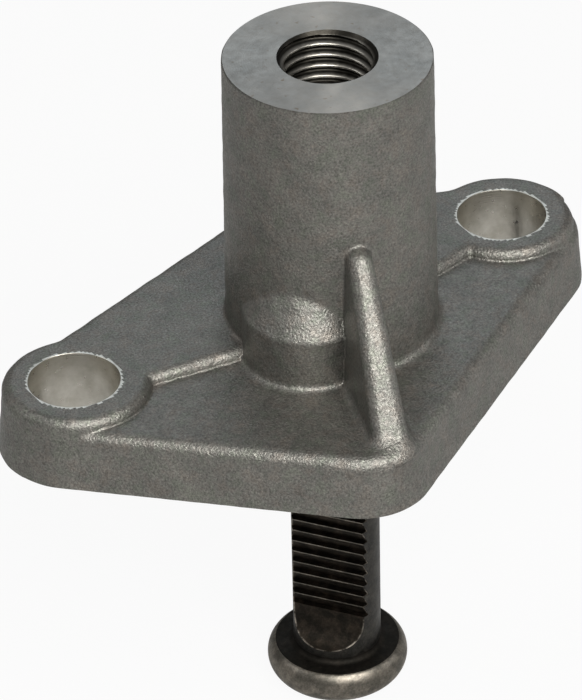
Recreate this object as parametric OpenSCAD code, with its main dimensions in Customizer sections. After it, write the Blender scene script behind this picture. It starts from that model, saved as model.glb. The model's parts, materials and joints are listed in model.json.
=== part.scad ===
// Ratchet chain tensioner: a cast housing with a two-hole flange, a threaded
// tower and a pawl boss. A toothed steel plunger slides in it on a long
// spring, and a sprung pawl stops the plunger from going back in.
//
// Frame: the origin is midway between the mounting holes on the mounting
// face. +X runs along the holes and +Z up the tower. The plunger is fully out.

/* [Flange] */
// Distance between the two mounting holes
hole_spacing = 52.2; // [46:0.1:66]
// Diameter of the mounting holes
hole_d = 9.3; // [8:0.1:10]
// Radius of the flange round each mounting hole
lobe_r = 7.9; // [6.5:0.1:9.5]
// Flange thickness at the pads and the raised back half
pad_z = 7.7; // [7:0.1:9.3]
// Flange thickness at the sunken front half
floor_z = 6.5; // [5:0.1:6.8]
// Plunger axis, to the right of the middle of the holes
axis_x = 2.1; // [-3:0.1:3]
// Plunger axis, in front of the row of holes
axis_y = 4.1; // [2:0.1:6]

/* [Tower] */
// Height of the tower's machined top over the mounting face
tower_h = 37.8; // [36:0.1:48]
// Diameter of the tower at its top
tower_d = 21; // [19:0.1:26]
// Nominal diameter of the thread for the plug
thread_d = 10; // [9.7:0.1:10.2]
// Pitch of that thread
thread_pitch = 1.25; // [1:0.05:1.5]
// Depth of the thread below the tower's top
thread_len = 6.7; // [5:0.1:9]

/* [Plunger] */
// Diameter of the plunger rod
rod_d = 9.3; // [9.1:0.1:11.2]
// Length of rod between the mounting face and the head, fully out
rod_out = 34.9; // [28:0.1:42]
// Diameter of the head
head_d = 14.9; // [13:0.1:18]
// Thickness of the head
head_t = 4; // [3.4:0.1:5]
// Distance from one tooth to the next
tooth_pitch = 1.38; // [1.3:0.01:1.5]
// Depth of the teeth
tooth_depth = 0.5; // [0.4:0.01:0.55]
// Number of teeth that the plunger can be pushed back by
travel_teeth = 15; // [6:1:15]
// Direction that the teeth face, seen from above
rack_angle = -144; // [-160:1:-130]

/* [Pawl] */
// Width of the pawl
pawl_w = 4; // [3.4:0.1:4.8]
// Diameter of the pawl's pivot pin
pin_d = 2; // [1.6:0.1:2.4]
// Radius of the boss that holds the pawl and its spring
boss_r = 6.65; // [6.4:0.05:7]
// Height of the boss's rim over the mounting face
boss_rim_z = 12.1; // [12:0.1:14]

/* [Springs] */
// Wire diameter of the long main spring
main_wire = 0.45; // [0.3:0.01:0.5]
// Turns in the main spring
main_turns = 34; // [28:1:36]
// Wire diameter of the pawl spring
pawl_wire = 0.35; // [0.3:0.01:0.45]
// Turns in the pawl spring
pawl_turns = 6; // [4:1:7]

/* [Hidden] */
$fn = 64;
eps = 0.01;
past = 1;               // how far a cutter runs past the face it opens

// Clearances
slide_gap = 0.05;       // radial, plunger in its bore and pawl on its pin
side_gap = 0.1;         // each side of the pawl
pin_gap = 0.01;         // pin in its slot

// Flange outline: two lobes, a front corner and a rounded back corner
axis = [axis_x, -axis_y];
hole_l = [-hole_spacing / 2, 0];
hole_r = [hole_spacing / 2, 0];
front_c = [axis_x - 7.8, -axis_y - 16.9];
front_r = 6.95;
back_c = [axis_x + 1.2, -axis_y + 12.8];
back_r = 6.1;
back_lobe_r = lobe_r * 0.72;   // where the back edge leaves each lobe
pad_r = lobe_r - 0.35;
step_inset = 0.1;              // raised half, in from the flange's edge
step_l = [hole_l[0] + lobe_r, -4.1];
step_m = [axis_x, -axis_y - 2.8];
step_r = [hole_r[0] - lobe_r * 0.7, -3.1];

// Tower
bore_r = rod_d / 2 + slide_gap;
tower_r = tower_d / 2;
tower_base_r = tower_r + 0.4;
tower_fillet = 0.9;
tap_r = thread_d / 2 - 0.52 * thread_pitch;
bore_top = tower_h - thread_len;
mouth_r = thread_d / 2 + 0.05;
bore_mouth = 0.5;

// Rib from the tower's side down to the front corner
rib_angle = -108.4;
rib_w = 2.5;
rib_top = tower_h - 15.4;
rib_reach = 23.3;
rib_step = 1.5;

// Boss: an upright round with a conical top, mostly sunk in the tower. It
// stands over the pawl, so it lies the way that the teeth face.
boss_dist = bore_r + 1.9;
boss_c = boss_dist * [cos(rack_angle), sin(rack_angle)];
boss_slope = 1.67;             // rise of the cone over its run
cone_top_r = min(tower_r - boss_dist, boss_r - 0.3);
cone_h = (boss_r - cone_top_r) * boss_slope;

// Rack, in the plunger's own frame: u points out of the toothed flat
flat_u = rod_d / 2 - 2.25;
root_u = flat_u - tooth_depth;
rack_teeth = 26;
rack_low = -rod_out + 5.3;
rack_high = rack_low + rack_teeth * tooth_pitch;
runout_r = 3.5;
rod_top = rack_high + 2.7;
travel = travel_teeth * tooth_pitch;
spring_hole_r = 1.4;
spring_hole_end = -rod_out + 9;
rim_r = 0.56 * head_t;        // round of the head's rim, cut off flat on top

// Pawl: a bell crank on a pin, nose on the rack, spring on its outer arm.
// Its outline is drawn engaged, then turned clear of the teeth.
pivot_u = bore_r + 2.2;
pivot_z = rack_high + 2.5;
hub_r = pin_d / 2 + 0.95;
lift = 6.5;             // angle from engaged to clear of the teeth
backlash = 0.5;         // between the locking faces when engaged
nose_gap = 0.06;
nose_teeth = 2;
nose_z = rack_high - 3 * tooth_pitch;
seat_u = pivot_u + 2.9;
arm_end_u = pivot_u + 4.3;
arm_top_z = pivot_z + 0.7;
slot_top_z = pivot_z + 2.2;
slot_end_u = arm_end_u + 0.55;
slot_w = pawl_w + 2 * side_gap;
pin_len = pawl_w + 2.9;
pawl_hole_r = 1.65;
pawl_hole_top = boss_rim_z + 1.9;

// Springs and guide
guide_r = 0.75;
guide_head_t = 1.1;
guide_low = 3;
main_r = 1.28;          // outside radius of the main spring
pawl_spring_r = 1.5;
coil_sides = 6;
coil_steps = 12;

// Middle part of two circles' outline, from tangent point to tangent point
function on_circle(c, r, a) = c + r * [cos(a), sin(a)];
function heading(a, b) = atan2(b[1] - a[1], b[0] - a[0]);
function spread(a, ra, b, rb) = acos((ra - rb) / norm(b - a));
function link(a, ra, b, rb) = let (h = heading(a, b), s = spread(a, ra, b, rb))
    [on_circle(a, ra, h + s), on_circle(b, rb, h + s),
     on_circle(b, rb, h - s), on_circle(a, ra, h - s)];

// Rings of a coil spring that stands on z = 0, wire centre on radius r
function coil_ring(r, wire, turns, height, i) = let (
    a = 360 * i / coil_steps,
    z = wire / 2 + (height - wire) * i / (turns * coil_steps))
    [for (k = [0 : coil_sides - 1]) let (b = 360 * k / coil_sides,
        q = r + wire / 2 * cos(b))
        [q * cos(a), q * sin(a), z + wire / 2 * sin(b)]];

module at_axis() { translate([axis[0], axis[1], 0]) children(); }

// Drawn with u along +X and z along +Y, stood up and turned to the rack
module rack_plane(width) {
    rotate([0, 0, rack_angle]) rotate([90, 0, 0])
        translate([0, 0, -width / 2]) linear_extrude(width) children();
}

module blend(a, ra, b, rb) {
    translate(a) circle(ra);
    translate(b) circle(rb);
    polygon(link(a, ra - eps, b, rb - eps));   // just inside, so that it crosses
}

module flange_outline(inset) {
    blend(hole_l, lobe_r - inset, front_c, front_r - inset);
    blend(hole_r, lobe_r - inset, front_c, front_r - inset);
    blend(hole_l, back_lobe_r - inset, back_c, back_r - inset);
    blend(hole_r, back_lobe_r - inset, back_c, back_r - inset);
    polygon([hole_l, front_c, hole_r, back_c]);
}

module raised_half() {
    intersection() {
        flange_outline(step_inset);
        polygon([step_l, step_m, step_r, hole_r,
                 hole_r + [lobe_r, 0], hole_r + [lobe_r, 30],
                 hole_l + [-lobe_r, 30], hole_l + [-lobe_r, 0], hole_l]);
    }
    translate(hole_l) circle(pad_r);
    translate(hole_r) circle(pad_r);
}

module tower() {
    draft = (tower_base_r - tower_r) / tower_h;
    cylinder(r1 = tower_base_r, r2 = tower_r, h = tower_h);
    root_r = tower_base_r - draft * floor_z - 0.1;
    translate([0, 0, floor_z]) rotate_extrude() difference() {
        square([root_r + tower_fillet, tower_fillet]);
        translate([root_r + tower_fillet, tower_fillet]) circle(tower_fillet);
    }
}

module rib() {
    low_z = floor_z - 0.5;
    rotate([0, 0, rib_angle]) rotate([90, 0, 0])
        translate([0, 0, -rib_w / 2]) linear_extrude(rib_w)
        polygon([[tower_r - 2, low_z], [rib_reach, low_z],
                 [tower_r + rib_step, rib_top - 0.5],
                 [tower_r - 2, rib_top]]);
}

module boss() {
    translate(boss_c) {
        cylinder(r = boss_r, h = boss_rim_z);
        translate([0, 0, boss_rim_z - eps])
            cylinder(r1 = boss_r, r2 = cone_top_r, h = cone_h);
    }
}

// Slot for the pawl and its pin, open at the mounting face
module pawl_slot() {
    rack_plane(slot_w) translate([0, -past])
        square([slot_end_u, slot_top_z + past]);
    rack_plane(pin_len + 2 * pin_gap) {
        translate([pivot_u, pivot_z]) circle(pin_d / 2 + pin_gap);
        translate([pivot_u - pin_d / 2 - pin_gap, -past])
            square([pin_d + 2 * pin_gap, pivot_z + past]);
    }
    rotate([0, 0, rack_angle]) translate([seat_u, 0, pivot_z])
        cylinder(r = pawl_hole_r, h = pawl_hole_top - pivot_z);
}

module housing() {
    color([0.52, 0.50, 0.47]) difference() {
        union() {
            linear_extrude(floor_z) flange_outline(0);
            translate([0, 0, floor_z - eps])
                linear_extrude(pad_z - floor_z + eps) raised_half();
            at_axis() {
                tower();
                rib();
                boss();
            }
        }
        for (c = [hole_l, hole_r])
            translate([c[0], c[1], -past]) cylinder(d = hole_d, h = pad_z + 2 * past);
        at_axis() {
            translate([0, 0, -past]) cylinder(r = bore_r, h = bore_top + past);
            translate([0, 0, -eps])
                cylinder(r1 = bore_r + bore_mouth, r2 = bore_r, h = bore_mouth);
            cylinder(r = tap_r, h = tower_h + past);
            translate([0, 0, tower_h - (mouth_r - tap_r)])
                cylinder(r1 = tap_r, r2 = mouth_r + eps, h = mouth_r - tap_r + eps);
            pawl_slot();
        }
    }
}

// One notch per tooth: the locking face looks up, the back slopes down
module rack_cut() {
    far = rod_d;
    polygon(concat(
        [[far, rack_high], [far, rack_low - runout_r], [flat_u, rack_low - 0.6],
         [flat_u, rack_low]],
        [for (i = [0 : rack_teeth - 1]) each
            [[root_u, rack_low + i * tooth_pitch],
             [flat_u, rack_low + (i + 1) * tooth_pitch - eps]]],
        [[flat_u, rack_high]]));
    translate([flat_u + runout_r, rack_low - 0.6]) circle(runout_r);
}

module head() {
    rotate_extrude() intersection() {
        square([head_d, head_t]);
        union() {
            square([head_d / 2 - rim_r, head_t]);
            translate([head_d / 2 - rim_r, rim_r]) circle(rim_r);
        }
    }
}

module plunger() {
    color([0.14, 0.13, 0.12]) at_axis() difference() {
        union() {
            translate([0, 0, -rod_out - eps])
                cylinder(d = rod_d, h = rod_out + rod_top + eps);
            translate([0, 0, -rod_out - eps])
                cylinder(r1 = rod_d / 2 + 0.6, r2 = rod_d / 2, h = 0.6);
            translate([0, 0, -rod_out - head_t]) head();
        }
        rack_plane(2 * rod_d) rack_cut();
        translate([0, 0, spring_hole_end])
            cylinder(r = spring_hole_r, h = rod_top - spring_hole_end + past);
    }
}

module coil(r, wire, turns, height) {
    n = turns * coil_steps;
    points = [for (i = [0 : n]) each coil_ring(r - wire / 2, wire, turns, height, i)];
    faces = concat(
        [[for (k = [0 : coil_sides - 1]) k]],
        [for (i = [0 : n - 1], k = [0 : coil_sides - 1])
            let (a = i * coil_sides, j = (k + 1) % coil_sides)
            [a + k, a + coil_sides + k, a + coil_sides + j, a + j]],
        [[for (k = [coil_sides - 1 : -1 : 0]) n * coil_sides + k]]);
    polyhedron(points, faces);
}

module main_spring() {
    top = bore_top - guide_head_t;
    color([0.6, 0.6, 0.6]) at_axis() translate([0, 0, spring_hole_end])
        coil(main_r, main_wire, main_turns, top - spring_hole_end);
}

module spring_guide() {
    color([0.5, 0.5, 0.52]) at_axis() {
        translate([0, 0, bore_top - guide_head_t])
            cylinder(r = bore_r - slide_gap, h = guide_head_t);
        translate([0, 0, guide_low])
            cylinder(r = guide_r, h = bore_top - guide_low - guide_head_t + eps);
    }
}

// The pawl's three parts, drawn engaged
module pawl_nose() {
    reach = nose_gap + tooth_depth * backlash / tooth_pitch;
    back_u = flat_u + nose_gap;
    polygon(concat(
        [for (i = [0 : nose_teeth - 1]) let (z = nose_z + i * tooth_pitch) each
            [[back_u, z + backlash], [root_u + reach, z + backlash],
             [back_u, z + tooth_pitch]]],
        [[back_u, rack_high - 0.55], [pivot_u - hub_r, rack_high - 0.1],
         [pivot_u - 0.7 * hub_r, pivot_z - 0.6 * hub_r],
         [pivot_u + 0.5 * hub_r, pivot_z - 0.8 * hub_r],
         [pivot_u - 0.4, nose_z + 2], [back_u + 0.9, nose_z + backlash - 0.3]]));
}

module pawl_arm() {
    polygon([[pivot_u + 1.3, pivot_z - 1.2], [arm_end_u, arm_top_z - 1.6],
             [arm_end_u, arm_top_z], [pivot_u + 1.3, arm_top_z]]);
}

module engaged_pawl() {
    difference() {
        union() {
            rack_plane(pawl_w) pawl_nose();
            rack_plane(pawl_w) translate([pivot_u, pivot_z]) circle(hub_r);
            rack_plane(pawl_w) pawl_arm();
        }
        rack_plane(pawl_w + 2 * past)
            translate([pivot_u, pivot_z]) circle(pin_d / 2 + slide_gap);
    }
}

module pawl() {
    pivot = [pivot_u * cos(rack_angle), pivot_u * sin(rack_angle), pivot_z];
    swing = [sin(rack_angle), -cos(rack_angle), 0];
    color([0.3, 0.3, 0.3]) at_axis() translate(pivot) rotate(lift, swing)
        translate(-pivot) engaged_pawl();
}

module pawl_pin() {
    color([0.65, 0.65, 0.65]) at_axis() rack_plane(pin_len)
        translate([pivot_u, pivot_z]) circle(d = pin_d);
}

module pawl_spring() {
    low = arm_top_z + (seat_u + pawl_spring_r - pivot_u) * tan(lift) + 0.02;
    color([0.6, 0.6, 0.6]) at_axis() rotate([0, 0, rack_angle])
        translate([seat_u, 0, low])
        coil(pawl_spring_r, pawl_wire, pawl_turns, pawl_hole_top - low);
}

housing();
plunger();
main_spring();
spring_guide();
pawl();
pawl_pin();
pawl_spring();
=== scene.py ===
"""Looks of the ratchet chain tensioner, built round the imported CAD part.

The casting is modelled as a smooth field, meshed, and then cut like the real
one: faced, drilled, tapped and slotted. Lengths in the shape code are in
millimetres in the part's own frame, and become metres when a mesh is made.
"""

import json
import math
import bmesh
import bpy
import numpy as np
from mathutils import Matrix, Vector


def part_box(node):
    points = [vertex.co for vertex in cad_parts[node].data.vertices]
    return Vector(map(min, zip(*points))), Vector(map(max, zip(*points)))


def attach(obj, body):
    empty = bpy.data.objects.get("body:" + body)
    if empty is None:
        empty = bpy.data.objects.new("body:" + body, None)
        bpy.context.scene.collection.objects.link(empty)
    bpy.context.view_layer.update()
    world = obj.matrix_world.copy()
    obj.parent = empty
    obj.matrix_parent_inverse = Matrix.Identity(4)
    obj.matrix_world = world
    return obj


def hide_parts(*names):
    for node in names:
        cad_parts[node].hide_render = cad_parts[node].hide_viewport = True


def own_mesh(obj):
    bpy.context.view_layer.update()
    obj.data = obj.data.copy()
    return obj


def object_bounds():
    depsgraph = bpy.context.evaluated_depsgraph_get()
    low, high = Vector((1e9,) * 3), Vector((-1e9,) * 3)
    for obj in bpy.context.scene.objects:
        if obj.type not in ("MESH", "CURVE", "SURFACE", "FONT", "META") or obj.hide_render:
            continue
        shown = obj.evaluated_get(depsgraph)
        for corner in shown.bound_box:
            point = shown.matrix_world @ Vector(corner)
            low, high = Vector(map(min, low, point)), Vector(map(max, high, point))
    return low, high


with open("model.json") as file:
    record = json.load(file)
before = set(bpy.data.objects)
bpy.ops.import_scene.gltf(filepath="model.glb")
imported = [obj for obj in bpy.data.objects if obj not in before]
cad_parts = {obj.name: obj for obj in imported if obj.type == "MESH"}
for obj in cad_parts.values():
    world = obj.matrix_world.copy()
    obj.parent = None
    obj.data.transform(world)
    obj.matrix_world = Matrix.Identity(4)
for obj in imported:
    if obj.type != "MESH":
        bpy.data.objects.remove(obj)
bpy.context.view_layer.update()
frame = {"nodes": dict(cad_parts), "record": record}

MM = 0.001
RECORD = frame["record"]
MOUNTS = {m["name"]: m for m in RECORD["mounts"]}


def box_mm(node):
    """Lowest and highest corner of a CAD node, in millimetres."""
    low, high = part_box(node)
    return np.array(low) / MM, np.array(high) / MM


# ---- Sizes, from the frame where the frame has them ----

HOUSING_LOW, HOUSING_HIGH = box_mm("housing")
PLUNGER_LOW, PLUNGER_HIGH = box_mm("plunger")
BOLTS = MOUNTS["flange_bolts"]["dims"]
THREAD = MOUNTS["plug_thread"]

HOLE_X = BOLTS["spacing_x_mm"] / 2
HOLE_R = BOLTS["hole_r_mm"]
LOBE_R = HOUSING_HIGH[0] - HOLE_X
AXIS = np.array(THREAD["pos_m"][:2]) / MM       # plunger axis
TOWER_H = HOUSING_HIGH[2]
TAP_R = THREAD["dims"]["r_mm"]
HOLES = (np.array([-HOLE_X, 0.0]), np.array([HOLE_X, 0.0]))

# Flange. Its radii are those at the top of the drafted side, and pairs are left and right.
PAD_Z = 7.7                     # the pads and the raised back half
FLOOR_Z = 6.5                   # the low front half
FRONT_C = AXIS + [-7.8, -16.9]  # the round corner in front
FRONT_R = 6.55
BACK_C = AXIS + [1.2, 12.8]     # the round corner behind the tower
BACK_R = 6.6
BACK_LOBE_R = 0.82 * LOBE_R     # where the back edges leave the lobes
CAST_LOBES = (HOLES[0] + [0.3, 0], HOLES[1] + [0.3, 0])  # cast a little off the drilled holes
CAST_LOBE_R = (LOBE_R - 0.4, LOBE_R - 0.25)
CAST_PAD_R = (LOBE_R - 0.35, LOBE_R - 0.65)
SIDE_DRAFT = 0.6                # how much further out the side stands at the mounting face
EDGE_R = 1.2
STEP_LEFT = HOLES[0] + [LOBE_R, -4.1]   # the raised half begins on the line through these three
STEP_MIDDLE = AXIS + [0, -2.8]
STEP_RIGHT = HOLES[1] + [-0.7 * LOBE_R, -3.1]

# Tower, rib and boss
TOWER_TOP_R = 10.5
TOWER_BASE_R = 10.9
RIB_ANGLE = math.radians(-108.4)
RIB_W = 2.5                     # at the top
RIB_DRAFT = 0.04                # added to each side per millimetre down
RIB_EDGE_R = 1.2
RIB_TOP = TOWER_H - 15.4
RIB_REACH = 23.9                # from the tower's axis
RIB_STEP = 1.5                  # nearly level part of the ridge, next to the tower
RACK_ANGLE = math.radians(-144)
BORE_R = 4.7
BORE_MOUTH = 0.5
BORE_TOP = 31.1
THREAD_MOUTH_R = 5.05
BOSS_R = 6.65
BOSS_DIST = BORE_R + 1.9        # from the tower's axis
BOSS_RIM_Z = 12.1               # where its cone begins
BOSS_SLOPE = 1.67               # rise of the cone over its run

# Plunger, in the rack's frame: u points out of the toothed flat
ROD_R = 4.65
ROD_OUT = 34.9                  # rod in view, from the mounting face down to the head
ROD_TOP = PLUNGER_HIGH[2]
HEAD_R = 7.45
HEAD_LOW = PLUNGER_LOW[2]
HEAD_TOP_Z = HEAD_LOW + 4       # the side that the rod stands on
FLAT_U = 2.4
TOOTH_DEPTH = 0.5
TOOTH_PITCH = 1.38
TEETH = 26
RACK_LOW = -ROD_OUT + 5.3       # first notch of the rack
RACK_HIGH = RACK_LOW + TEETH * TOOTH_PITCH
RUNOUT_R = 3.5                  # of the milling cutter that leaves the flat
RUNOUT_Z = RACK_LOW - 0.6
SPRING_HOLE_R = 1.4
SPRING_HOLE_END = -ROD_OUT + 9  # bottom of the hole that takes the main spring

# Pawl slot, in the rack's frame
PAWL_SLOT_W = 4.2
PIN_SLOT_R = 1.01
PIN_SLOT_L = 6.92
PIVOT_U = BORE_R + 2.2
PIVOT_Z = RACK_HIGH + 2.5
SLOT_TOP_Z = PIVOT_Z + 2.2
SLOT_END_U = PIVOT_U + 4.85
PAWL_SPRING_U = PIVOT_U + 2.9
PAWL_SPRING_BORE_R = 1.65
PAWL_SPRING_BORE_TOP = BOSS_RIM_Z + 1.9


# ---- Meshes ----

def mesh_object(name, points, faces):
    """A mesh object from points in millimetres."""
    mesh = bpy.data.meshes.new(name)
    mesh.from_pydata((np.asarray(points) * MM).tolist(), [], [list(f) for f in faces])
    mesh.validate()
    mesh.update()
    thing = bpy.data.objects.new(name, mesh)
    bpy.context.scene.collection.objects.link(thing)
    return thing


def solid_object(name, points, faces):
    """The same for a closed mesh, with its faces turned outwards."""
    thing = mesh_object(name, points, faces)
    work = bmesh.new()
    work.from_mesh(thing.data)
    bmesh.ops.recalc_face_normals(work, faces=work.faces)
    work.to_mesh(thing.data)
    work.free()
    return thing


def grid_faces(rows, columns):
    """Quads of a rows x columns grid that closes round its columns."""
    r, c = np.meshgrid(np.arange(rows - 1), np.arange(columns), indexing="ij")
    a = r * columns + c
    b = r * columns + (c + 1) % columns
    return np.stack([a, b, b + columns, a + columns], -1).reshape(-1, 4).tolist()


def tube_faces(rows, columns):
    """The same grid, closed by a disc at either end."""
    faces = grid_faces(rows, columns)
    faces.append(list(range(columns - 1, -1, -1)))
    faces.append(list(range((rows - 1) * columns, rows * columns)))
    return faces


def circle(sides):
    """Even angles round a circle."""
    return np.linspace(0, 2 * math.pi, sides, endpoint=False)


def ring_points(radius, z, centre, sides):
    """Rings of points round a vertical axis. z is a column, radius a column or a value per point."""
    turn = circle(sides)
    return np.stack([centre[0] + radius * np.cos(turn), centre[1] + radius * np.sin(turn),
                     z + 0 * turn], -1).reshape(-1, 3)


def lathe(name, profile, centre, sides):
    """Solid of revolution. The profile's (radius, z) points run upwards, and it is closed by discs."""
    profile = np.array(profile, float)
    points = ring_points(profile[:, :1], profile[:, 1:], centre, sides)
    return solid_object(name, points, tube_faces(len(profile), sides))


def rack_direction():
    """Unit vectors along u, out of the teeth, and across them."""
    u = np.array([math.cos(RACK_ANGLE), math.sin(RACK_ANGLE), 0.0])
    return u, np.array([-u[1], u[0], 0.0])


def rack_prism(name, outline, width):
    """An outline of (u, z) points made into a solid of that width, across the rack."""
    u, across = rack_direction()
    origin = np.array([AXIS[0], AXIS[1], 0.0])
    flat = [origin + p[0] * u + np.array([0, 0, p[1]]) for p in outline]
    points = [p + side * width / 2 * across for side in (-1, 1) for p in flat]
    n = len(outline)
    faces = [[k, (k + 1) % n, (k + 1) % n + n, k + n] for k in range(n)]
    faces += [list(range(n - 1, -1, -1)), list(range(n, 2 * n))]
    return solid_object(name, points, faces)


def cut(thing, cutters):
    """Takes each cutter out of the thing, and deletes the cutter."""
    for cutter in cutters:
        step = thing.modifiers.new("cut", "BOOLEAN")
        step.operation = "DIFFERENCE"
        step.solver = "MANIFOLD"
        step.object = cutter
        before = len(thing.data.vertices)
        apply_modifiers(thing)
        if len(thing.data.vertices) in (0, before):
            raise RuntimeError(f"{cutter.name} did not cut {thing.name}")
        bpy.data.objects.remove(cutter)


def apply_modifiers(thing):
    """Makes what the modifiers show the thing's own mesh."""
    bpy.context.view_layer.update()
    graph = bpy.context.evaluated_depsgraph_get()
    made = bpy.data.meshes.new_from_object(thing.evaluated_get(graph))
    thing.modifiers.clear()
    thing.data = made


# ---- The casting as a field: negative inside, in millimetres ----

def soft_min(a, b, k):
    """Union of two fields with a fillet about as wide as k."""
    h = np.maximum(k - np.abs(a - b), 0) / k
    return np.minimum(a, b) - h * h * k / 4


def soft_max(a, b, k):
    """Common part of two fields, rounded about as wide as k where they meet."""
    return -soft_min(-a, -b, k)


def rounded_edge(a, b, edge):
    """Common part of two fields, with a true radius where they meet."""
    q, w = a + edge, b + edge
    outside = np.hypot(np.maximum(q, 0), np.maximum(w, 0))
    return outside + np.minimum(np.maximum(q, w), 0) - edge


def capsule_2d(x, y, a, ra, b, rb):
    """Outline round two circles of different size."""
    along = b - a
    length = math.hypot(*along)
    along = along / length
    px = np.abs((x - a[0]) * along[1] - (y - a[1]) * along[0])
    py = (x - a[0]) * along[0] + (y - a[1]) * along[1]
    sine = (ra - rb) / length
    cosine = math.sqrt(1 - sine * sine)
    k = cosine * py - sine * px
    side = px * cosine + py * sine - ra
    low = np.hypot(px, py) - ra
    high = np.hypot(px, py - length) - rb
    return np.where(k < 0, low, np.where(k > cosine * length, high, side))


def half_plane(x, y, a, b):
    """Distance in front of the line from a to b, on its right-hand side."""
    d = (b - a) / math.hypot(*(b - a))
    return (x - a[0]) * d[1] - (y - a[1]) * d[0]


def flange_2d(x, y):
    """Outline of the flange: two lobes and two round corners, joined by straight edges."""
    left, right = CAST_LOBES
    inner = np.maximum(half_plane(x, y, left, FRONT_C), half_plane(x, y, FRONT_C, right))
    inner = np.maximum(inner, half_plane(x, y, right, BACK_C))
    inner = np.maximum(inner, half_plane(x, y, BACK_C, left))
    front = np.minimum(capsule_2d(x, y, left, CAST_LOBE_R[0], FRONT_C, FRONT_R),
                       capsule_2d(x, y, right, CAST_LOBE_R[1], FRONT_C, FRONT_R))
    back = np.minimum(capsule_2d(x, y, left, BACK_LOBE_R, BACK_C, BACK_R),
                      capsule_2d(x, y, right, BACK_LOBE_R, BACK_C, BACK_R))
    return np.minimum(soft_min(front, back, 0.5), inner)


def flange_fields(x, y, z):
    """The low floor of the flange, and the half and pads raised above it."""
    outline = flange_2d(x, y) - SIDE_DRAFT * (FLOOR_Z - z) / FLOOR_Z
    step_left = half_plane(x, y, STEP_LEFT, STEP_MIDDLE)
    step_right = half_plane(x, y, STEP_MIDDLE, STEP_RIGHT)
    raised = np.maximum(outline, np.where(x < AXIS[0], step_left, step_right))
    for lobe, radius in zip(CAST_LOBES, CAST_PAD_R):
        raised = soft_min(raised, np.hypot(x - lobe[0], y - lobe[1]) - radius, 0.3)
    return rounded_edge(outline, z - FLOOR_Z, EDGE_R), rounded_edge(raised, z - PAD_Z, EDGE_R)


def tower_field(x, y, z):
    """The drafted tower, a little longer than it is once faced."""
    radius = TOWER_BASE_R + (TOWER_TOP_R - TOWER_BASE_R) * z / TOWER_H
    side = np.hypot(x - AXIS[0], y - AXIS[1]) - radius
    return np.maximum(side, z - TOWER_H - 0.6)


def boss_field(x, y, z):
    """The round boss over the pawl's spring, with its cone."""
    cx = AXIS[0] + BOSS_DIST * math.cos(RACK_ANGLE)
    cy = AXIS[1] + BOSS_DIST * math.sin(RACK_ANGLE)
    side = np.hypot(x - cx, y - cy) - BOSS_R
    cone = (side * BOSS_SLOPE + z - BOSS_RIM_Z) / math.hypot(1, BOSS_SLOPE)
    return soft_max(side, cone, 0.12)


def rib_field(x, y, z):
    """The gusset rib: s runs outwards from the tower's axis, w across the rib."""
    out = np.array([math.cos(RIB_ANGLE), math.sin(RIB_ANGLE)])
    s = (x - AXIS[0]) * out[0] + (y - AXIS[1]) * out[1]
    w = np.abs((y - AXIS[1]) * out[0] - (x - AXIS[0]) * out[1])
    top_s, top_z = TOWER_TOP_R + RIB_STEP, RIB_TOP - 0.5
    slope = (top_z - FLOOR_Z + 0.5) / (RIB_REACH - top_s)
    ridge = (z - top_z + slope * (s - top_s)) / math.hypot(1, slope)
    step_slope = 0.5 / (RIB_STEP + 2)
    step = (z - top_z + step_slope * (s - top_s)) / math.hypot(1, step_slope)
    profile = soft_max(ridge, step, 0.5)
    profile = np.maximum(profile, TOWER_TOP_R - 3 - s)
    half = RIB_W / 2 + RIB_DRAFT * np.maximum(RIB_TOP - z, 0)
    bar = rounded_edge(profile, w - half, RIB_EDGE_R)
    return np.maximum(bar, FLOOR_Z - 0.8 - z)


def waviness(x, y, z):
    """The slight unevenness of a sand-blasted casting."""
    return 0.018 * (np.sin(1.1 * x + 0.7 * y) * np.sin(0.9 * y - 0.8 * z)
                    + np.sin(2.3 * z + 1.7 * x) * np.sin(1.9 * y + 0.6 * z + 1))


def casting_field(x, y, z):
    """The whole casting. Each pair that meets has a fillet of its own width."""
    floor, raised = flange_fields(x, y, z)
    tower = tower_field(x, y, z)
    boss = boss_field(x, y, z)
    rib = rib_field(x, y, z)
    body = soft_min(floor, raised, 0.2)
    body = np.minimum(body, soft_min(floor, tower, 1.1))
    body = np.minimum(body, soft_min(raised, tower, 0.4))
    body = np.minimum(body, soft_min(floor, boss, 0.9))
    body = np.minimum(body, soft_min(tower, boss, 0.2))
    body = np.minimum(body, soft_min(floor, rib, 1.1))
    body = np.minimum(body, soft_min(tower, rib, 0.35))
    return body + waviness(x, y, z)


def casting_slope(points):
    """Gradient of the casting's field, which points outwards, at points in millimetres."""
    x, y, z = np.asarray(points, float).T
    e = 0.02
    return np.stack([casting_field(x + e, y, z) - casting_field(x - e, y, z),
                     casting_field(x, y + e, z) - casting_field(x, y - e, z),
                     casting_field(x, y, z + e) - casting_field(x, y, z - e)], -1) / (2 * e)


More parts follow.
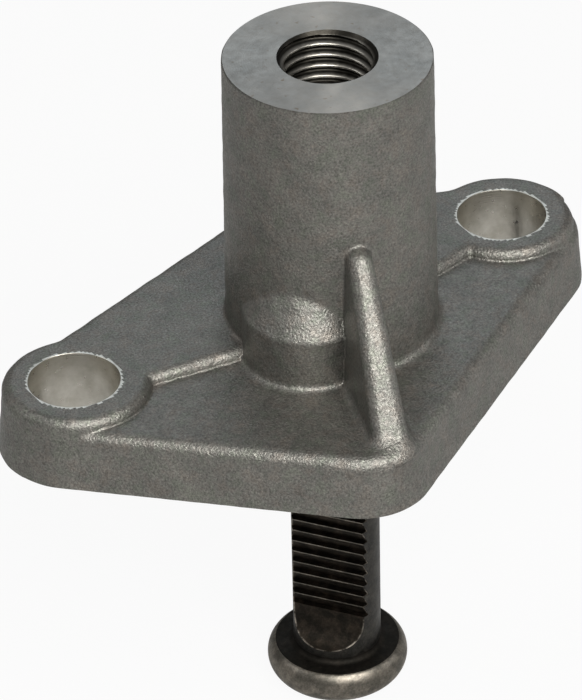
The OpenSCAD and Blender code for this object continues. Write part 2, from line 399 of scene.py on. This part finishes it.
def surface_net(field, origin, step):
    """Points and quads on the zero level of a field sampled on a grid."""
    inside = field < 0
    nx, ny, nz = np.array(field.shape) - 1

    def corner(values, i, j, k):
        return values[i:i + nx, j:j + ny, k:k + nz]

    corners = [(i, j, k) for i in (0, 1) for j in (0, 1) for k in (0, 1)]
    count = sum(corner(inside, *c).astype(np.int8) for c in corners)
    active = np.argwhere((count > 0) & (count < 8))
    index = np.full((nx, ny, nz), -1, np.int64)
    index[tuple(active.T)] = np.arange(len(active))
    value = {c: field[tuple((active + c).T)] for c in corners}
    total, hits = np.zeros((len(active), 3)), np.zeros(len(active))
    for a in corners:
        for b in corners:
            if sum(b) - sum(a) != 1 or any(q < p for p, q in zip(a, b)):
                continue
            crosses = (value[a] < 0) != (value[b] < 0)
            t = np.where(crosses, value[a] / np.where(crosses, value[a] - value[b], 1), 0)
            point = np.array(a) + t[:, None] * (np.array(b) - np.array(a))
            total += np.where(crosses[:, None], point, 0)
            hits += crosses
    points = origin + step * (active + total / hits[:, None])
    quads = []
    for axis in range(3):
        near = np.take(inside, np.arange(inside.shape[axis] - 1), axis)
        far = np.take(inside, np.arange(1, inside.shape[axis]), axis)
        edge = np.argwhere(near != far)
        others = [k for k in range(3) if k != axis]
        limit = np.array([nx, ny, nz])
        edge = edge[np.all((edge[:, others] > 0) & (edge[:, others] < limit[others]), 1)]
        ring = []
        for du, dv in ((1, 1), (0, 1), (0, 0), (1, 0)):
            cell = edge.copy()
            cell[:, others[0]] -= du
            cell[:, others[1]] -= dv
            ring.append(index[tuple(cell.T)])
        ring = np.stack(ring, 1)
        outwards = near[tuple(edge.T)] if axis != 1 else ~near[tuple(edge.T)]
        ring[~outwards] = ring[~outwards][:, ::-1]
        quads.append(ring)
    return points, np.concatenate(quads)


def cast_blank():
    """The casting before machining, a little long at its faced ends."""
    step = 0.3
    margin = 1.2
    extra = 0.7             # left under the mounting face, to be faced off
    low = np.array([HOUSING_LOW[0], HOUSING_LOW[1], 0.0]) - margin
    high = HOUSING_HIGH + margin
    x, y, z = (np.arange(low[k], high[k] + step, step) for k in range(3))
    field = casting_field(x[:, None, None], y[None, :, None], z[None, None, :])
    field = np.maximum(field, -extra - z[None, None, :])
    points, quads = surface_net(field.astype(np.float32), low, step)
    on_shape = (points[:, 2] > -0.3) & (points[:, 2] < TOWER_H + 0.3)
    for _ in range(2):      # moves the net's points onto the true surface
        p = points[on_shape]
        slope = casting_slope(p)
        distance = casting_field(*p.T)
        size = np.maximum((slope ** 2).sum(1), 0.3)
        move = np.clip(distance / size, -0.15, 0.15)
        points[on_shape] = p - slope * move[:, None]
    return mesh_object("housing_casting", points, quads.tolist())


# ---- Cutters for the machined faces ----

def slab_cutter(low_z, high_z):
    """Faces the casting off between two heights."""
    past = 5
    low = HOUSING_LOW - past
    high = HOUSING_HIGH + past
    corners = [(x, y, z) for z in (low_z, high_z)
               for x, y in ((low[0], low[1]), (high[0], low[1]), (high[0], high[1]), (low[0], high[1]))]
    faces = [[3, 2, 1, 0], [4, 5, 6, 7], [0, 1, 5, 4], [1, 2, 6, 5], [2, 3, 7, 6], [3, 0, 4, 7]]
    return mesh_object("slab", corners, faces)


def mount_hole_cutter(hole):
    """A mounting hole, with the edges at both ends just broken."""
    broken = 0.03
    past = 1.0
    return lathe("mount_hole", [(HOLE_R + broken + past, -past), (HOLE_R + broken, 0), (HOLE_R, broken),
                                (HOLE_R, PAD_Z - broken), (HOLE_R + broken, PAD_Z),
                                (HOLE_R + broken + past, PAD_Z + past)], hole, 128)


def bore_cutter():
    """The plunger's bore, with a chamfered mouth in the mounting face."""
    return lathe("bore", [(BORE_R + BORE_MOUTH + 1, -1), (BORE_R + BORE_MOUTH, 0),
                          (BORE_R, BORE_MOUTH), (BORE_R, BORE_TOP)], AXIS, 128)


def thread_cutter():
    """The tapped hole: a helical thread with flat crests, rounded grooves and a chamfered mouth."""
    pitch = 1.25
    depth = 0.62
    sides, rings_per_pitch = 144, 22
    z = np.arange(BORE_TOP - 0.4, TOWER_H + 0.3, pitch / rings_per_pitch)[:, None]
    phase = (z / pitch - circle(sides) / (2 * math.pi)) % 1
    groove = np.clip(1.15 - np.abs(phase - 0.5) / 0.42, 0, 1)
    groove = groove * groove * (3 - 2 * groove)
    above, below = THREAD_MOUTH_R + z - TOWER_H, THREAD_MOUTH_R - (TOWER_H - z) * 0.9
    radius = np.maximum(TAP_R + depth * groove, np.where(z > TOWER_H, above, below))
    radius = np.where(z < BORE_TOP, TAP_R, radius)
    return solid_object("thread", ring_points(radius, z, AXIS, sides), tube_faces(len(z), sides))


def tower_edge_cutter():
    """A ring that breaks the outer edge of the tower's turned top."""
    broken = 0.12
    inner, outer = TOWER_TOP_R - broken, TOWER_TOP_R + 3
    outline = np.array([(inner, TOWER_H + 0.01), (outer, TOWER_H - 3 - broken),
                        (outer, TOWER_H + 1), (inner, TOWER_H + 1)])
    sides = 128
    points = ring_points(outline[:, :1], outline[:, 1:], AXIS, sides)
    faces = [[i % len(points) for i in face] for face in grid_faces(len(outline) + 1, sides)]
    return solid_object("tower_edge", points, faces)


def pawl_cutters():
    """Slot for the pawl, open at the mounting face, the pin's slot and the spring's hole."""
    slot = rack_prism("slot", [(0, -1), (SLOT_END_U, -1), (SLOT_END_U, SLOT_TOP_Z),
                               (0, SLOT_TOP_Z)], PAWL_SLOT_W)
    outline = [(PIVOT_U - PIN_SLOT_R, -1), (PIVOT_U + PIN_SLOT_R, -1)]
    outline += [(PIVOT_U + PIN_SLOT_R * math.cos(a), PIVOT_Z + PIN_SLOT_R * math.sin(a))
                for a in np.linspace(0, math.pi, 17)]
    pin = rack_prism("pin_slot", outline, PIN_SLOT_L)
    u, _ = rack_direction()
    centre = AXIS + PAWL_SPRING_U * u[:2]
    hole = lathe("spring_hole", [(PAWL_SPRING_BORE_R, PIVOT_Z),
                                 (PAWL_SPRING_BORE_R, PAWL_SPRING_BORE_TOP)], centre, 48)
    return [slot, pin, hole]


# ---- Materials ----

class Recipe:
    """A material's node tree, with short names for the nodes used here."""

    def __init__(self, name):
        self.material = bpy.data.materials.new(name)
        self.material.use_nodes = True
        self.tree = self.material.node_tree
        self.tree.nodes.clear()
        self.shader = self.add("ShaderNodeBsdfPrincipled")
        output = self.add("ShaderNodeOutputMaterial")
        self.link(self.shader.outputs[0], output.inputs["Surface"])
        self.place = self.add("ShaderNodeTexCoord").outputs["Object"]

    def add(self, kind, **values):
        """A new node, with its settings."""
        node = self.tree.nodes.new(kind)
        for key, value in values.items():
            setattr(node, key, value)
        return node

    def link(self, source, target):
        """Joins an output to an input."""
        self.tree.links.new(source, target)

    def noise(self, size_mm, detail=3.0, roughness=0.6):
        """Clouds of about that size."""
        node = self.add("ShaderNodeTexNoise")
        node.inputs["Scale"].default_value = 1 / (size_mm * MM)
        node.inputs["Detail"].default_value = detail
        node.inputs["Roughness"].default_value = roughness
        self.link(self.place, node.inputs["Vector"])
        return node.outputs["Fac"]

    def ramp(self, source, *stops):
        """A colour ramp from (place, colour) stops."""
        node = self.add("ShaderNodeValToRGB")
        ramp = node.color_ramp
        while len(ramp.elements) < len(stops):
            ramp.elements.new(0.5)
        for element, (place, colour) in zip(ramp.elements, stops):
            element.position = place
            if isinstance(colour, (int, float)):
                colour = (colour,) * 3
            element.color = (*colour, 1)
        self.link(source, node.inputs[0])
        return node.outputs["Color"]

    def mix(self, share, a, b, kind="MIX"):
        """Colour b laid over colour a."""
        node = self.add("ShaderNodeMix", data_type="RGBA", blend_type=kind)
        for value, socket in ((share, node.inputs[0]), (a, node.inputs[6]), (b, node.inputs[7])):
            if isinstance(value, bpy.types.NodeSocket):
                self.link(value, socket)
            elif isinstance(value, (int, float)):
                socket.default_value = value
            else:
                socket.default_value = (*value, 1)
        return node.outputs[2]

    def map(self, source, low, high, to_low, to_high):
        """A value stretched from one range to another, and held at its ends."""
        node = self.add("ShaderNodeMapRange")
        for key, value in (("From Min", low), ("From Max", high), ("To Min", to_low), ("To Max", to_high)):
            node.inputs[key].default_value = value
        self.link(source, node.inputs["Value"])
        return node.outputs["Result"]

    def math(self, kind, a, b=0.0):
        """Arithmetic on sockets or numbers."""
        node = self.add("ShaderNodeMath", operation=kind)
        for value, socket in ((a, node.inputs[0]), (b, node.inputs[1])):
            if isinstance(value, bpy.types.NodeSocket):
                self.link(value, socket)
            else:
                socket.default_value = value
        return node.outputs[0]

    def parts(self):
        """The x, y and z of the place, in metres."""
        node = self.add("ShaderNodeSeparateXYZ")
        self.link(self.place, node.inputs[0])
        return node.outputs

    def offset(self, centre):
        """The x and y of the place, from a vertical axis."""
        x, y, _ = self.parts()
        return (self.math("SUBTRACT", x, float(centre[0] * MM)),
                self.math("SUBTRACT", y, float(centre[1] * MM)))

    def radius(self, centre):
        """Distance from a vertical axis, in metres."""
        dx, dy = self.offset(centre)
        square = self.math("ADD", self.math("MULTIPLY", dx, dx), self.math("MULTIPLY", dy, dy))
        return self.math("SQRT", square)

    def waves(self, distance, size_mm):
        """Even ridges along a distance in metres, as left by a tool."""
        return self.math("SINE", self.math("MULTIPLY", distance, 2 * math.pi / (size_mm * MM)))

    def bump(self, height, distance_mm, below=None):
        """Relief that deep, on top of the relief below."""
        node = self.add("ShaderNodeBump")
        node.inputs["Distance"].default_value = distance_mm * MM
        self.link(height, node.inputs["Height"])
        if below is not None:
            self.link(below, node.inputs["Normal"])
        return node.outputs["Normal"]

    def finish(self, colour, metallic, roughness, normal):
        """Joins the parts of the look to the shader."""
        for source, socket in ((colour, "Base Color"), (roughness, "Roughness"), (normal, "Normal")):
            self.link(source, self.shader.inputs[socket])
        self.shader.inputs["Metallic"].default_value = metallic
        return self.material


def cast_aluminium():
    """Blasted grey casting: fine glinting grain over faint green, brown and grey clouds."""
    m = Recipe("cast_aluminium")
    clouds = m.ramp(m.noise(2.6, 4, 0.65), (0.30, (0.160, 0.158, 0.148)), (0.70, (0.215, 0.208, 0.192)))
    grain = m.ramp(m.noise(0.22, 3, 0.7), (0.30, 0.58), (0.70, 1.44))
    stain = m.ramp(m.noise(1.7, 4, 0.7), (0.36, (0.94, 1.0, 0.94)), (0.50, (1.0, 1.0, 1.0)),
                   (0.64, (1.05, 1.0, 0.97)))
    colour = m.mix(1.0, m.mix(1.0, clouds, grain, "MULTIPLY"), stain, "MULTIPLY")
    rough = m.map(m.noise(0.35, 2), 0.3, 0.7, 0.36, 0.56)
    normal = m.bump(m.noise(0.24, 2, 0.6), 0.085)
    normal = m.bump(m.noise(1.0, 2), 0.05, below=normal)
    return m.finish(colour, 0.85, rough, normal)


def faced_aluminium():
    """The tower's turned top: smooth, with faint rings and a few brown specks."""
    m = Recipe("faced_aluminium")
    clouds = m.ramp(m.noise(2.4, 4, 0.6), (0.3, (0.285, 0.280, 0.265)), (0.7, (0.370, 0.357, 0.335)))
    specks = m.ramp(m.noise(0.9, 2, 0.5), (0.66, (1, 1, 1)), (0.76, (0.72, 0.60, 0.50)))
    colour = m.mix(1.0, clouds, specks, "MULTIPLY")
    rough = m.map(m.noise(0.8, 3), 0.3, 0.7, 0.42, 0.54)
    normal = m.bump(m.waves(m.radius(AXIS), 0.24), 0.003)
    normal = m.bump(m.noise(0.25, 3), 0.012, below=normal)
    outwards = m.add("ShaderNodeCombineXYZ")
    for source, socket in zip(m.offset(AXIS), outwards.inputs):
        m.link(source, socket)
    m.link(outwards.outputs[0], m.shader.inputs["Tangent"])
    m.shader.inputs["Anisotropic"].default_value = 0.7
    return m.finish(colour, 0.9, rough, normal)


def drilled_aluminium():
    """A reamed wall, with fine tool marks round it and a few deeper ones."""
    m = Recipe("drilled_aluminium")
    colour = m.ramp(m.noise(1.8, 4), (0.3, (0.42, 0.40, 0.35)), (0.7, (0.58, 0.56, 0.51)))
    _, _, z = m.parts()
    uneven = m.math("MULTIPLY", m.waves(z, 0.28), m.map(m.noise(2.5, 2), 0.40, 0.65, 0.1, 1.0))
    normal = m.bump(uneven, 0.004)
    normal = m.bump(m.noise(0.9, 2), 0.012, below=normal)
    return m.finish(colour, 1.0, m.map(m.noise(0.6, 3), 0.3, 0.7, 0.26, 0.40), normal)


def tapped_aluminium():
    """A cut thread: bright crests, and painted shade darkening the grooves."""
    m = Recipe("tapped_aluminium")
    # painted shade: the further into a groove, the darker the colour
    groove_shade = m.map(m.radius(AXIS), TAP_R * MM, (TAP_R + 0.4) * MM, 0.0, 1.0)
    bright = m.ramp(m.noise(0.8, 3), (0.3, (0.34, 0.33, 0.30)), (0.7, (0.50, 0.48, 0.44)))
    colour = m.mix(groove_shade, bright, (0.030, 0.028, 0.024))
    normal = m.bump(m.noise(0.3, 3), 0.010)
    return m.finish(colour, 1.0, m.map(m.noise(0.5, 2), 0.3, 0.7, 0.28, 0.42), normal)


def milled_aluminium():
    """The mounting face and the pawl's slot."""
    m = Recipe("milled_aluminium")
    colour = m.ramp(m.noise(2.0, 4), (0.3, (0.40, 0.39, 0.37)), (0.7, (0.50, 0.49, 0.46)))
    x, y, _ = m.parts()
    path = m.math("ADD", x, m.math("MULTIPLY", y, 0.15))
    normal = m.bump(m.waves(path, 0.5), 0.004)
    return m.finish(colour, 1.0, m.map(m.noise(0.7, 3), 0.3, 0.7, 0.30, 0.45), normal)


def dark_steel(name, base, worn, rough_low, rough_high, edge_radius=None):
    """Oxidised steel, worn lighter and browner in patches. Out at edge_radius it is lighter still: partly
    worn bright, partly a painted edge highlight.
    """
    m = Recipe(name)
    patches = m.ramp(m.noise(1.4, 5, 0.65), (0.42, base), (0.72, worn))
    fine = m.ramp(m.noise(0.22, 3), (0.3, 0.75), (0.7, 1.25))
    colour = m.mix(1.0, patches, fine, "MULTIPLY")
    if edge_radius:
        # painted edge highlight, patchy like wear, along the cut edges at edge_radius
        outer = m.map(m.radius(AXIS), (edge_radius - 0.16) * MM, (edge_radius - 0.04) * MM, 0.0, 1.0)
        worn_and_highlit_edge = m.math("MULTIPLY", outer, m.map(m.noise(0.9, 3), 0.40, 0.62, 0.0, 1.0))
        colour = m.mix(worn_and_highlit_edge, colour, (0.42, 0.38, 0.33))
    rough = m.map(m.noise(0.8, 3), 0.3, 0.7, rough_low, rough_high)
    normal = m.bump(m.noise(0.20, 3), 0.012)
    return m.finish(colour, 1.0, rough, normal)


def spring_steel():
    """Drawn wire, nearly smooth."""
    m = Recipe("spring_steel")
    colour = m.ramp(m.noise(0.8, 3), (0.3, (0.30, 0.29, 0.28)), (0.7, (0.46, 0.45, 0.44)))
    rough = m.map(m.noise(0.4, 2), 0.3, 0.7, 0.25, 0.38)
    return m.finish(colour, 1.0, rough, m.bump(m.noise(0.1, 2), 0.002))


def ground_steel():
    """Ground pins, with fine marks round them."""
    m = Recipe("ground_steel")
    colour = m.ramp(m.noise(1.0, 3), (0.3, (0.42, 0.42, 0.42)), (0.7, (0.55, 0.55, 0.54)))
    _, _, z = m.parts()
    rough = m.map(m.noise(0.5, 2), 0.3, 0.7, 0.18, 0.30)
    return m.finish(colour, 1.0, rough, m.bump(m.waves(z, 0.15), 0.001))


def paper_white():
    """Floor: so pale that it reads white, with only a breath of shadow on it."""
    direct_white = 0.93
    m = Recipe("paper_white")
    m.shader.inputs["Base Color"].default_value = (0.5, 0.5, 0.5, 1)
    m.shader.inputs["Roughness"].default_value = 0.9
    glow = m.add("ShaderNodeEmission")
    glow.inputs["Strength"].default_value = 1.0
    seen = m.add("ShaderNodeLightPath").outputs["Is Camera Ray"]
    both = m.add("ShaderNodeMixShader")
    m.link(m.math("MULTIPLY", seen, direct_white), both.inputs[0])
    m.link(m.shader.outputs[0], both.inputs[1])
    m.link(glow.outputs[0], both.inputs[2])
    output = next(n for n in m.tree.nodes if n.type == "OUTPUT_MATERIAL")
    m.link(both.outputs[0], output.inputs["Surface"])
    return m.material


# ---- Pieces ----

def paint(thing, materials, choose):
    """Gives each face the material whose place choose() returns from face centres and normals."""
    mesh = thing.data
    mesh.materials.clear()
    for material in materials:
        mesh.materials.append(material)
    n = len(mesh.polygons)
    centres, normals = np.zeros(n * 3), np.zeros(n * 3)
    mesh.polygons.foreach_get("center", centres)
    mesh.polygons.foreach_get("normal", normals)
    chosen = choose(centres.reshape(-1, 3) / MM, normals.reshape(-1, 3))
    mesh.polygons.foreach_set("material_index", chosen.astype(np.int32))
    return chosen


def shade_by_angle(thing, degrees):
    """Smooth shading, with edges sharper than that kept hard."""
    thing.data.polygons.foreach_set("use_smooth", [True] * len(thing.data.polygons))
    thing.data.set_sharp_from_angle(angle=math.radians(degrees))


CAST, FACED, HOLE, THREADED, MILLED = range(5)


def housing_faces(centre, normal):
    """Which faces of the housing are cast and which are machined."""
    x, y, z = centre.T
    kind = np.full(len(centre), CAST)
    from_axis = np.hypot(x - AXIS[0], y - AXIS[1])
    kind[(z < 0.02) & (normal[:, 2] < -0.9)] = MILLED
    kind[(z > TOWER_H - 0.01) & (normal[:, 2] > 0.9)] = FACED
    for hole in HOLES:
        kind[np.hypot(x - hole[0], y - hole[1]) < HOLE_R + 0.2] = HOLE
    kind[(from_axis < BORE_R + BORE_MOUTH - 0.05) & (z < BORE_TOP + 0.05)] = HOLE
    kind[(from_axis < THREAD_MOUTH_R + 0.15) & (z > BORE_TOP - 0.1) & (z < TOWER_H - 0.005)] = THREADED
    kind[(kind == CAST) & (casting_field(x, y, z) < -0.1)] = MILLED
    return kind


def use_field_normals(thing, chosen):
    """Cast faces take their shading from the field itself, so cuts leave no marks on them."""
    mesh = thing.data
    n = len(mesh.vertices)
    points = np.zeros(n * 3)
    mesh.vertices.foreach_get("co", points)
    slope = casting_slope(points.reshape(-1, 3) / MM)
    slope /= np.maximum(np.linalg.norm(slope, axis=1, keepdims=True), 1e-6)
    corner_vertex = np.zeros(len(mesh.loops), np.int32)
    mesh.loops.foreach_get("vertex_index", corner_vertex)
    totals = np.zeros(len(mesh.polygons), np.int32)
    mesh.polygons.foreach_get("loop_total", totals)
    corner_kind = np.repeat(chosen, totals)
    corner_normals = np.where((corner_kind == CAST)[:, None], slope[corner_vertex], 0.0)
    mesh.normals_split_custom_set(corner_normals.tolist())


def make_housing():
    """The casting, cut as the real one is machined."""
    housing = cast_blank()
    cutters = [slab_cutter(-3, 0), slab_cutter(TOWER_H, TOWER_H + 3)]
    cutters += [mount_hole_cutter(hole) for hole in HOLES]
    cutters += [tower_edge_cutter(), bore_cutter(), thread_cutter()] + pawl_cutters()
    cut(housing, cutters)
    materials = [cast_aluminium(), faced_aluminium(), drilled_aluminium(), tapped_aluminium(),
                 milled_aluminium()]
    chosen = paint(housing, materials, housing_faces)
    shade_by_angle(housing, 35)
    use_field_normals(housing, chosen)
    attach(housing, "housing")
    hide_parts("housing")


def rack_outline():
    """What is milled away beside the rod's flat, tooth by tooth, with a round run-out below."""
    far = 2 * ROD_R
    tip = 0.12
    outline = [(far, RACK_HIGH), (far, RUNOUT_Z - RUNOUT_R)]
    outline += [(FLAT_U + RUNOUT_R * (1 - math.cos(a)), RUNOUT_Z - RUNOUT_R * math.sin(a))
                for a in np.linspace(math.pi / 2, 0, 24)]
    for tooth in range(TEETH):
        z = RACK_LOW + tooth * TOOTH_PITCH
        outline += [(FLAT_U, z), (FLAT_U - TOOTH_DEPTH, z + 0.03), (FLAT_U - TOOTH_DEPTH, z + 0.12),
                    (FLAT_U - 0.005, z + TOOTH_PITCH - tip)]
    outline.append((FLAT_U, RACK_HIGH - 0.001))
    return outline


def rod_profile():
    """Half outline of the plunger, from the head's underside up."""
    rim_r = 2.24
    rim_c = HEAD_R - rim_r
    fillet = 0.6
    profile = [(0.6, HEAD_LOW), (rim_c, HEAD_LOW)]
    top_angle = math.asin((HEAD_TOP_Z - HEAD_LOW - rim_r) / rim_r)
    profile += [(rim_c + rim_r * math.cos(a), HEAD_LOW + rim_r + rim_r * math.sin(a))
                for a in np.linspace(-math.pi / 2, top_angle, 28)[1:]]
    edge = profile[-1][0]
    profile[-1] = (edge - 0.01, HEAD_TOP_Z - 0.03)
    profile += [(edge - 0.12, HEAD_TOP_Z), (ROD_R + fillet + 0.05, HEAD_TOP_Z)]
    profile += [(ROD_R + fillet * (1 - math.sin(a)), HEAD_TOP_Z + fillet * (1 - math.cos(a)))
                for a in np.linspace(0.15, math.pi / 2, 6)]
    profile += [(ROD_R, ROD_TOP - 0.4), (ROD_R - 0.08, ROD_TOP - 0.15), (ROD_R - 0.3, ROD_TOP)]
    return profile


OXIDISED, RACK, WORN, HEAD_TOP = range(4)


def plunger_faces(centre, normal):
    """Which steel shows on each face: dark in the notches, worn bright on crests and rim."""
    x, y, z = centre.T
    from_axis = np.hypot(x - AXIS[0], y - AXIS[1])
    u = (x - AXIS[0]) * math.cos(RACK_ANGLE) + (y - AXIS[1]) * math.sin(RACK_ANGLE)
    kind = np.full(len(centre), OXIDISED)
    on_flat = (u > FLAT_U - TOOTH_DEPTH - 0.6) & (from_axis < ROD_R - 0.005)
    on_flat &= (z > RACK_LOW - 4.5) & (z < RACK_HIGH)
    kind[on_flat] = RACK
    kind[on_flat & (np.abs(u - FLAT_U) < 0.006) & (z > RACK_LOW + 0.1)] = WORN
    kind[(z < HEAD_TOP_Z + 1.0) & (from_axis < HEAD_R - 0.75)] = HEAD_TOP
    kind[(z < HEAD_TOP_Z - 0.02) & (from_axis > HEAD_R - 1.6)] = WORN
    return kind


def make_plunger():
    """The rod and its head, turned, then milled to a rack and drilled for its spring."""
    plunger = lathe("plunger_steel", rod_profile(), AXIS, 128)
    rack = rack_prism("rack_cutter", rack_outline(), 4 * ROD_R)
    mouth_r = SPRING_HOLE_R + 0.25
    hole = lathe("spring_well", [(0.15, SPRING_HOLE_END - 0.5), (SPRING_HOLE_R, SPRING_HOLE_END),
                                 (SPRING_HOLE_R, ROD_TOP - 0.2), (mouth_r, ROD_TOP + 0.05),
                                 (mouth_r, ROD_TOP + 1)], AXIS, 48)
    cut(plunger, [rack, hole])
    materials = [dark_steel("oxidised_steel", (0.044, 0.043, 0.041), (0.085, 0.080, 0.070), 0.32, 0.46),
                 dark_steel("rack_steel", (0.020, 0.018, 0.015), (0.058, 0.046, 0.036), 0.40, 0.55, ROD_R),
                 dark_steel("worn_steel", (0.13, 0.122, 0.105), (0.30, 0.27, 0.23), 0.34, 0.48),
                 dark_steel("head_steel", (0.016, 0.015, 0.013), (0.032, 0.028, 0.024), 0.55, 0.70)]
    paint(plunger, materials, plunger_faces)
    shade_by_angle(plunger, 30)
    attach(plunger, "plunger")
    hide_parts("plunger")


def coil(name, centre, radius, wire, turns, closed_turns, low, high):
    """A compression spring with closed ends, as a swept round wire."""
    sides, per_turn = 10, 28
    n = int(turns * per_turn) + 1
    t = np.linspace(0, turns, n)
    pitch_share = np.clip(np.minimum(t, turns - t) / closed_turns, 0, 1)
    rise = np.concatenate([[0], np.cumsum((pitch_share[1:] + pitch_share[:-1]) / 2)])
    closed = wire * t
    free = (high - low - wire) - closed[-1]
    z = low + wire / 2 + closed + free * rise / rise[-1]
    angle = 2 * math.pi * t
    path = np.stack([centre[0] + radius * np.cos(angle), centre[1] + radius * np.sin(angle), z], 1)
    tangent = np.gradient(path, axis=0)
    tangent /= np.linalg.norm(tangent, axis=1, keepdims=True)
    outward = np.stack([np.cos(angle), np.sin(angle), 0 * angle], 1)
    up = np.cross(outward, tangent)
    up /= np.linalg.norm(up, axis=1, keepdims=True)
    ring = circle(sides)
    points = (path[:, None] + wire / 2 * (np.cos(ring)[None, :, None] * outward[:, None]
                                          + np.sin(ring)[None, :, None] * up[:, None])).reshape(-1, 3)
    spring = solid_object(name, points, tube_faces(n, sides))
    shade_by_angle(spring, 50)
    return spring


def make_springs():
    """The main spring, which shortens as the plunger goes in, and the pawl's."""
    steel = spring_steel()
    low, high = box_mm("main_spring")
    wire = 0.45
    radius = (high[0] - low[0]) / 2 - wire / 2
    long_spring = coil("main_spring_coil", AXIS, radius, wire, 46, 1.5, low[2], high[2])
    long_spring.data.materials.append(steel)
    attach(long_spring, "plunger")
    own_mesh(long_spring)
    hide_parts("main_spring")

    low, high = box_mm("pawl_spring")
    wire = 0.35
    centre = (low[:2] + high[:2]) / 2
    radius = (high[0] - low[0]) / 2 - wire / 2
    foot = low[2] + 0.16
    short_spring = coil("pawl_spring_coil", centre, radius, wire, 6, 1.0, foot, high[2])
    short_spring.data.materials.append(steel)
    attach(short_spring, "housing")
    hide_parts("pawl_spring")


def paint_cad_nodes():
    """The small pieces whose CAD shape is right keep it, and get a real finish."""
    finishes = {"pawl": dark_steel("hardened_steel", (0.10, 0.095, 0.09), (0.20, 0.18, 0.15), 0.25, 0.40),
                "pawl_pin": ground_steel(), "spring_guide": ground_steel()}
    for node, material in finishes.items():
        mesh = frame["nodes"][node].data
        mesh.materials.clear()
        mesh.materials.append(material)


# ---- Stage ----

def make_floor():
    """Just under the part, and far past the picture's edge."""
    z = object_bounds()[0][2] / MM - 0.02
    far = 1500
    corners = [(-far, -far, z), (far, -far, z), (far, far, z), (-far, far, z)]
    floor = mesh_object("floor", corners, [[0, 1, 2, 3]])
    floor.data.materials.append(paper_white())


def area_light(name, azimuth, elevation, size, power, colour=(1, 1, 1)):
    """A soft box that looks at the part from that direction, in degrees and millimetres."""
    target, distance = Vector((0, -4, 10)), 500
    a, e = math.radians(azimuth), math.radians(elevation)
    towards = Vector((math.cos(a) * math.cos(e), math.sin(a) * math.cos(e), math.sin(e)))
    data = bpy.data.lights.new(name, "AREA")
    data.shape = "RECTANGLE"
    data.size, data.size_y = size[0] * MM, size[1] * MM
    data.energy = power
    data.color = colour
    lamp = bpy.data.objects.new(name, data)
    bpy.context.scene.collection.objects.link(lamp)
    lamp.location = (target + towards * distance) * MM
    lamp.rotation_euler = towards.to_track_quat("Z", "Y").to_euler()


def make_light():
    """Pale surroundings, a large key light in front, and three faint ones."""
    world = bpy.data.worlds.new("studio")
    bpy.context.scene.world = world
    world.use_nodes = True
    tree = world.node_tree
    background = tree.nodes["Background"]
    direction = tree.nodes.new("ShaderNodeTexCoord")
    parts = tree.nodes.new("ShaderNodeSeparateXYZ")
    sky = tree.nodes.new("ShaderNodeValToRGB")
    sky.color_ramp.elements[0].position = 0.05
    sky.color_ramp.elements[0].color = (0.17, 0.165, 0.155, 1)
    sky.color_ramp.elements[1].position = 0.9
    sky.color_ramp.elements[1].color = (0.30, 0.30, 0.30, 1)
    tree.links.new(direction.outputs["Generated"], parts.inputs[0])
    tree.links.new(parts.outputs[2], sky.inputs[0])
    tree.links.new(sky.outputs[0], background.inputs["Color"])
    area_light("key", -104, 42, (440, 280), 3.5, (1.0, 0.98, 0.94))
    area_light("back", 55, 36, (300, 260), 0.28, (0.80, 0.91, 1.0))
    area_light("left", 158, 34, (200, 200), 0.30)
    area_light("side", -30, 16, (200, 200), 0.25)


def make_camera():
    """At the viewing angle of a product shot: from the front left, looking down."""
    data = bpy.data.cameras.new("camera")
    data.sensor_width = 36
    data.lens = 265.022
    data.clip_start = 0.01
    camera = bpy.data.objects.new("camera", data)
    bpy.context.scene.collection.objects.link(camera)
    camera.location = np.array([-232.706, -365.650, 307.037]) * MM
    camera.rotation_euler = [math.radians(a) for a in (54.7554, 1.0648, -33.1895)]
    bpy.context.scene.camera = camera


make_camera()
make_housing()
make_plunger()
make_springs()
paint_cad_nodes()
make_floor()
make_light()
bpy.context.scene.view_settings.view_transform = "Standard"
